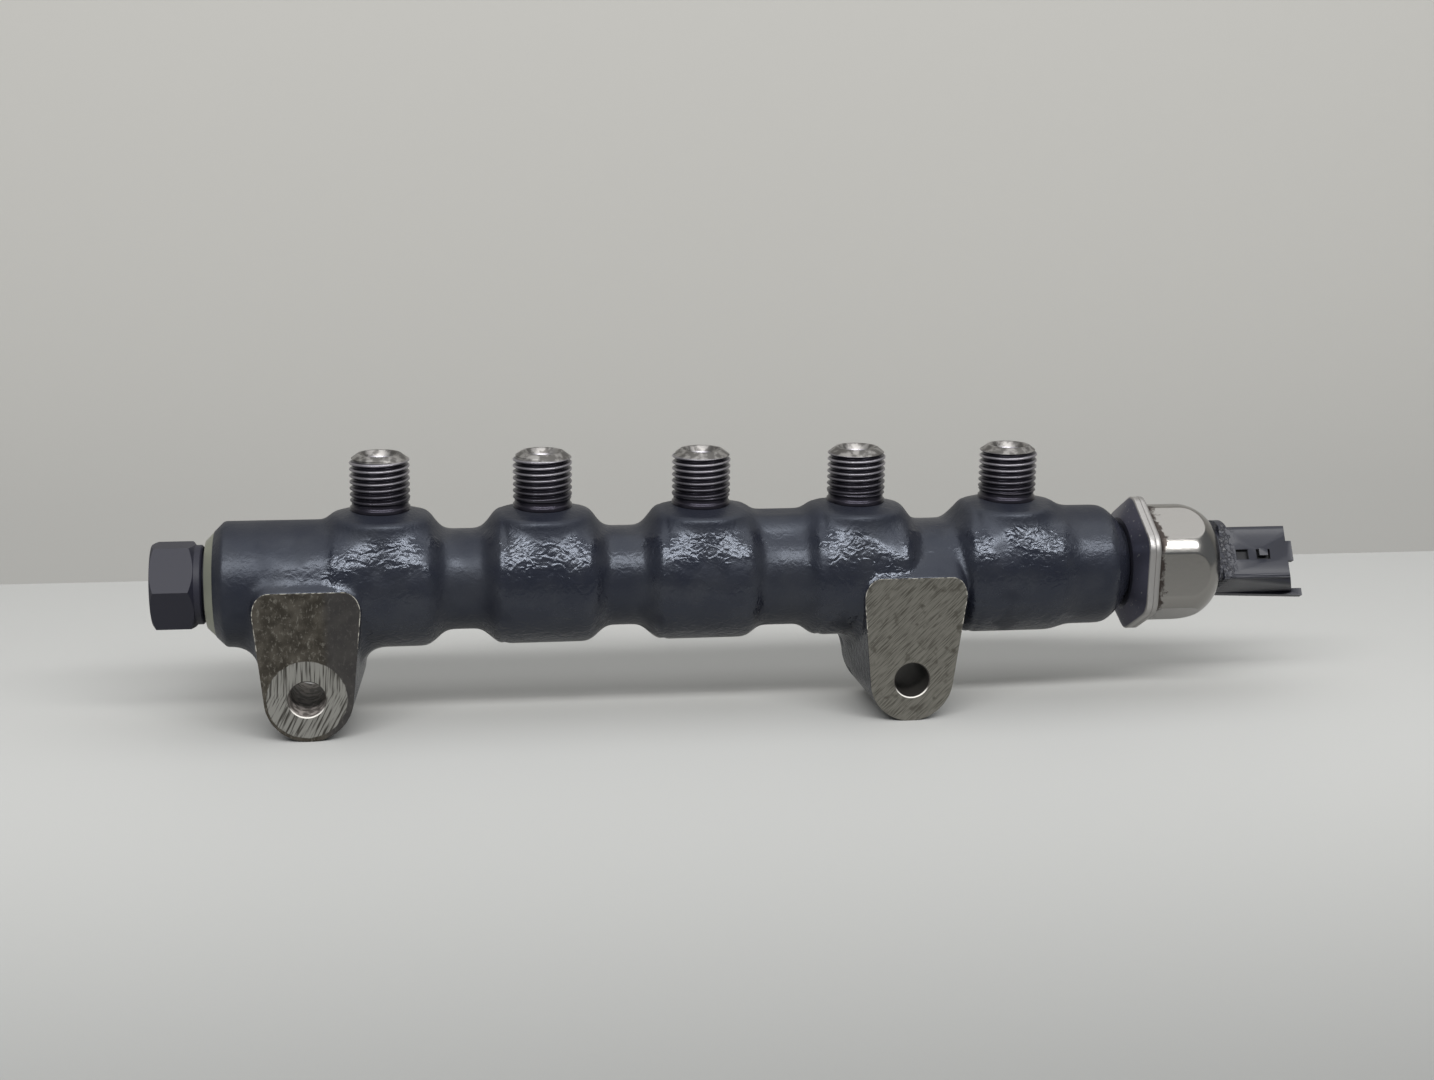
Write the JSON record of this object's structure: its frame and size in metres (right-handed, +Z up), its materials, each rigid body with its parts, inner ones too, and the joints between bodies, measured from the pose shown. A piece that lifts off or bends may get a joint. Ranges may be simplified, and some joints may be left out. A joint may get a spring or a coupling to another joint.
{
  "type": "fuel rail",
  "caption": "Forged diesel fuel rail: threaded pipe ports in a row on a barrelled tube with two bolt lugs, a hexagon end plug and a pressure sensor.",
  "frame": {"origin": "middle of the line between the two lug bolt holes, in the milled front faces of the lugs", "axes": "+X along the rail from the end plug to the sensor, +Y from the lugs' front faces to the back, +Z up along the ports"},
  "size_m": [0.2849, 0.0326, 0.0645],
  "materials": {
    "forged_steel": "satin blue-black coated forging, bare milled lug faces and port tops",
    "plug_steel": "satin blue-black oxidised steel",
    "sensor_steel": "turned and plated steel, black on the conical underside",
    "shell_steel": "drawn stainless steel, satin bright",
    "cell_steel": "ground stainless steel",
    "ring_plastic": "natural moulded plastic",
    "board": "green epoxy board",
    "chip": "black epoxy",
    "contact": "tinned brass",
    "seal_rubber": "black rubber",
    "connector_plastic": "black-grey glass-filled plastic"
  },
  "bodies": {
    "root": {"rail_body": "forged_steel", "end_plug": "plug_steel", "sensor_port": "sensor_steel", "measuring_cell": "cell_steel", "support_ring": "ring_plastic", "circuit_board": "board", "signal_chip": "chip", "sensor_shell": "shell_steel", "shell_seal": "seal_rubber", "connector_housing": "connector_plastic", "terminal_1": "contact", "board_spring_1": "contact", "terminal_2": "contact", "board_spring_2": "contact", "terminal_3": "contact", "board_spring_3": "contact"}
  },
  "joints": []
}
